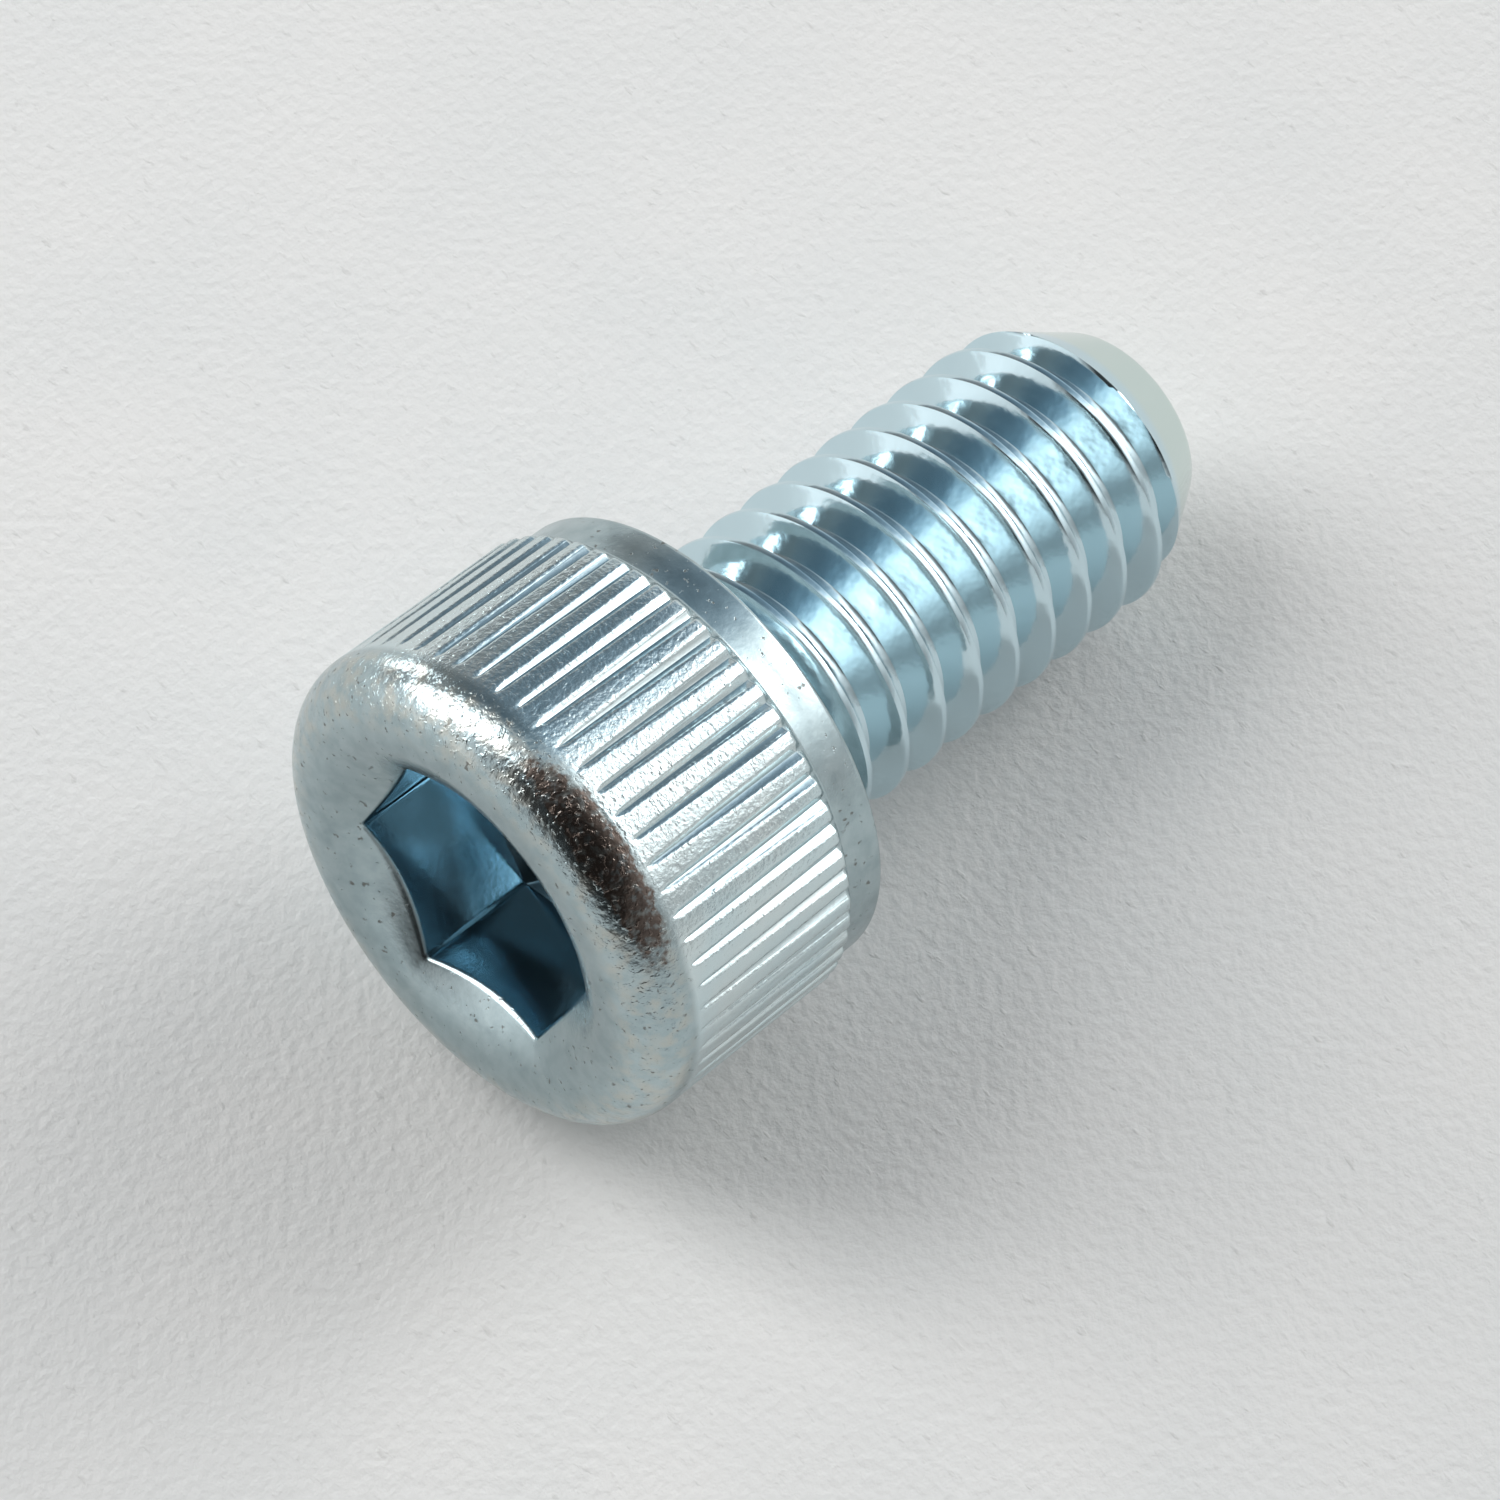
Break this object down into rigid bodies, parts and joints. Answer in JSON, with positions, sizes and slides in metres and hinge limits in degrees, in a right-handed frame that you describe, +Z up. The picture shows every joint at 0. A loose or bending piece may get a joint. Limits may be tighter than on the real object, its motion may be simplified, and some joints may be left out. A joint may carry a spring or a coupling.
{
  "type": "socket head cap screw",
  "caption": "Short cap screw with a knurled cylindrical head, a hexagon socket and a right-hand machine thread up to the head.",
  "frame": {"origin": "on the surface it lies on, below the middle of its length", "axes": "+X level, from the head's side towards the tip's side, +Z up. The screw's own axis dips 10.2 degrees below +X towards the tip, because the wider head props it up"},
  "size_m": [0.0184, 0.0098, 0.0105],
  "materials": {
    "zinc_plated_steel": "zinc plated, clear blue passivated, satin to bright"
  },
  "bodies": {
    "root": {"cap_screw": "zinc_plated_steel"}
  },
  "joints": []
}
